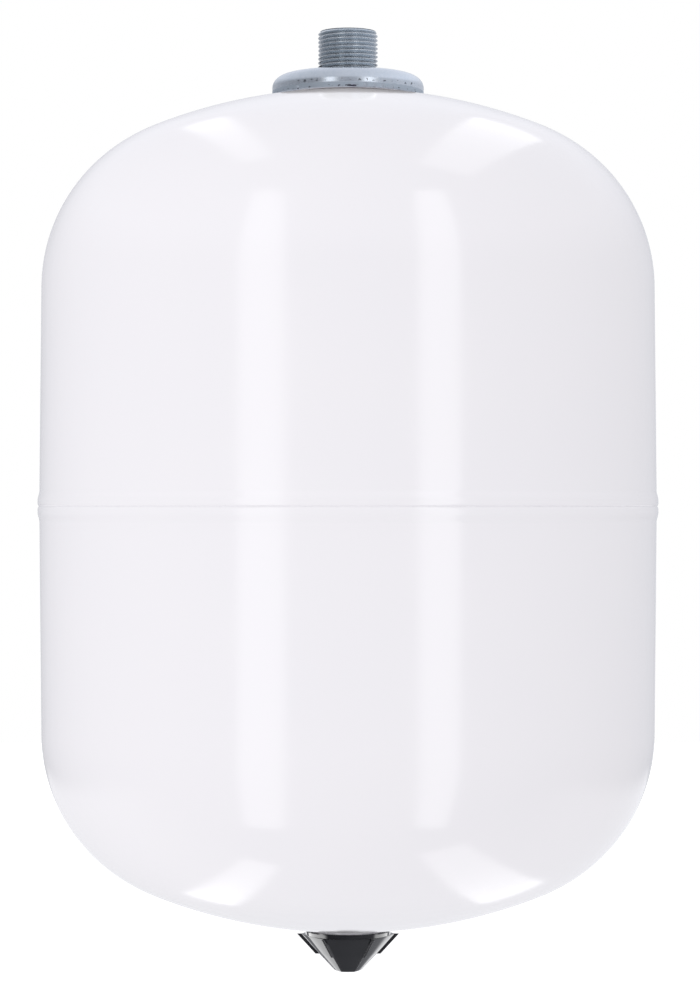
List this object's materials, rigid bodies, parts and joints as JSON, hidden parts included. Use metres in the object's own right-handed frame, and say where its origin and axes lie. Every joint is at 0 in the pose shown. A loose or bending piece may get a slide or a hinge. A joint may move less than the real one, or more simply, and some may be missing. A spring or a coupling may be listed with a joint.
{
  "type": "expansion vessel",
  "caption": "Upright white steel pressure vessel with rounded ends, a threaded pipe connection in a crimped top flange, a rubber bladder inside and a capped air valve below.",
  "frame": {"origin": "on the vessel's axis, at the tip of the protective cap", "axes": "+Z along the vessel's axis, from the air valve up to the water connection; -Y towards the viewer, with a flat side of the protective cap facing -Y"},
  "size_m": [0.2726, 0.2726, 0.4143],
  "materials": {
    "white_powder_coat": "glossy white powder coat with fine orange peel",
    "plain_steel": "plain mill finish",
    "zinc_plate": "satin bluish zinc plate with small stains",
    "natural_plastic": "undyed polypropylene",
    "black_rubber": "matt moulded rubber",
    "brass": "turned brass",
    "seal_plastic": "smooth sealing plastic",
    "dust_cap_plastic": "moulded plastic",
    "black_gloss_plastic": "glossy moulded plastic"
  },
  "bodies": {
    "tank": {"upper_shell": "white_powder_coat", "lower_shell": "white_powder_coat", "seam_backing_ring": "plain_steel", "neck_ring": "white_powder_coat", "clamp_flange": "zinc_plate", "connection_nipple": "zinc_plate", "nipple_liner": "natural_plastic", "inlet_grid": "natural_plastic", "valve_collar": "white_powder_coat", "valve_stem": "brass", "valve_gasket": "black_rubber", "valve_washer": "plain_steel", "valve_nut": "brass", "core_plug": "brass", "core_barrel": "brass", "core_seal": "seal_plastic", "core_spring": "plain_steel"},
    "bag": {"bladder": "black_rubber"},
    "outer_cap": {"protective_cap": "black_gloss_plastic"},
    "dust_cap_slider": {"dust_cap_seal": "black_rubber"},
    "dust_cap_screw": {"dust_cap": "dust_cap_plastic"},
    "valve_pin": {"core_pin": "brass", "core_pad": "black_rubber"}
  },
  "joints": [
    {"name": "cap_pull", "type": "slide", "parent": "tank", "child": "outer_cap", "axis": [0, 0, -1], "range_m": [0, 0.03]},
    {"name": "dust_cap_lift", "type": "slide", "parent": "tank", "child": "dust_cap_slider", "axis": [0, 0, -1], "range_m": [0, 0.00556]},
    {"name": "dust_cap_unscrew", "type": "hinge", "parent": "dust_cap_slider", "child": "dust_cap_screw", "pos_m": [0, 0, 0.008], "axis": [0, 0, -1], "range_deg": [0, 2520]},
    {"name": "core_pin_press", "type": "slide", "parent": "tank", "child": "valve_pin", "axis": [0, 0, 1], "range_m": [0, 0.0015], "stiffness_N_per_m": 20, "springref_m": -0.001, "deforming": ["core_spring"]},
    {"name": "bladder_collapse", "type": "slide", "parent": "tank", "child": "bag", "axis": [0, 0, 1], "range_m": [0, 0.2], "deforming": ["bladder"]}
  ],
  "couplings": [
    {"joint": "dust_cap_unscrew", "follows": "dust_cap_lift", "rad_per_m": 7915.8}
  ]
}
